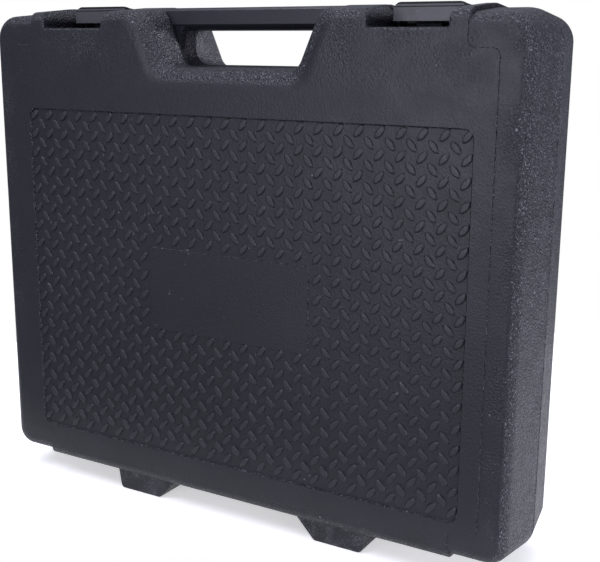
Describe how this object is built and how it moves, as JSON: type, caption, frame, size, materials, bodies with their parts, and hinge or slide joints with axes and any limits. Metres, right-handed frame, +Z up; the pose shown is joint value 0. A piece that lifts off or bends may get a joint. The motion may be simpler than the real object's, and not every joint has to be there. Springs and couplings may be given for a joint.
{
  "type": "carry case",
  "caption": "Hard plastic carry case standing on moulded feet, with a bar handle in a top scoop, flip latches, a tread-pattern front panel and a front half that swings open.",
  "frame": {"origin": "on the ground, midway between left and right and midway between the front and back faces", "axes": "+X to the right seen from the front, +Y to the back, +Z up; the two halves meet on the plane y = 0"},
  "size_m": [0.452, 0.092, 0.3884],
  "materials": {
    "case_plastic": "satin",
    "tray_plastic": "matte",
    "grip_plastic": "satin",
    "latch_plastic": "satin",
    "pin_steel": "satin",
    "foam": "matte"
  },
  "bodies": {
    "rear_half": {"rear_shell": "case_plastic", "rear_handle_well": "case_plastic", "rear_latch_seat_left": "case_plastic", "rear_latch_seat_right": "case_plastic", "rear_tray": "tray_plastic", "rear_rim_left": "tray_plastic", "rear_rim_right": "tray_plastic", "rear_grip": "grip_plastic", "rear_foot_left_inner": "case_plastic", "rear_foot_left_outer": "case_plastic", "rear_foot_right_inner": "case_plastic", "rear_foot_right_outer": "case_plastic", "hinge_pin_left": "pin_steel", "hinge_pin_right": "pin_steel", "latch_pin_left": "pin_steel", "latch_pin_right": "pin_steel", "tool_insert": "foam"},
    "front_half": {"front_shell": "case_plastic", "front_handle_well": "case_plastic", "front_latch_seat_left": "case_plastic", "front_latch_seat_right": "case_plastic", "front_tray": "tray_plastic", "front_rim_left": "tray_plastic", "front_rim_right": "tray_plastic", "front_grip": "grip_plastic", "front_foot_left": "case_plastic", "front_foot_right": "case_plastic", "catch_left": "latch_plastic", "catch_right": "latch_plastic", "lid_foam": "foam"},
    "latch_left": {"latch_left": "latch_plastic"},
    "latch_right": {"latch_right": "latch_plastic"}
  },
  "joints": [
    {"name": "lid_hinge", "type": "hinge", "parent": "rear_half", "child": "front_half", "pos_m": [0, 0, 0.006], "axis": [1, 0, 0], "range_deg": [0, 180]},
    {"name": "latch_left_flip", "type": "hinge", "parent": "rear_half", "child": "latch_left", "pos_m": [-0.139, 0.014, 0.379], "axis": [-1, 0, 0], "range_deg": [0, 95]},
    {"name": "latch_right_flip", "type": "hinge", "parent": "rear_half", "child": "latch_right", "pos_m": [0.139, 0.014, 0.379], "axis": [-1, 0, 0], "range_deg": [0, 95]}
  ]
}
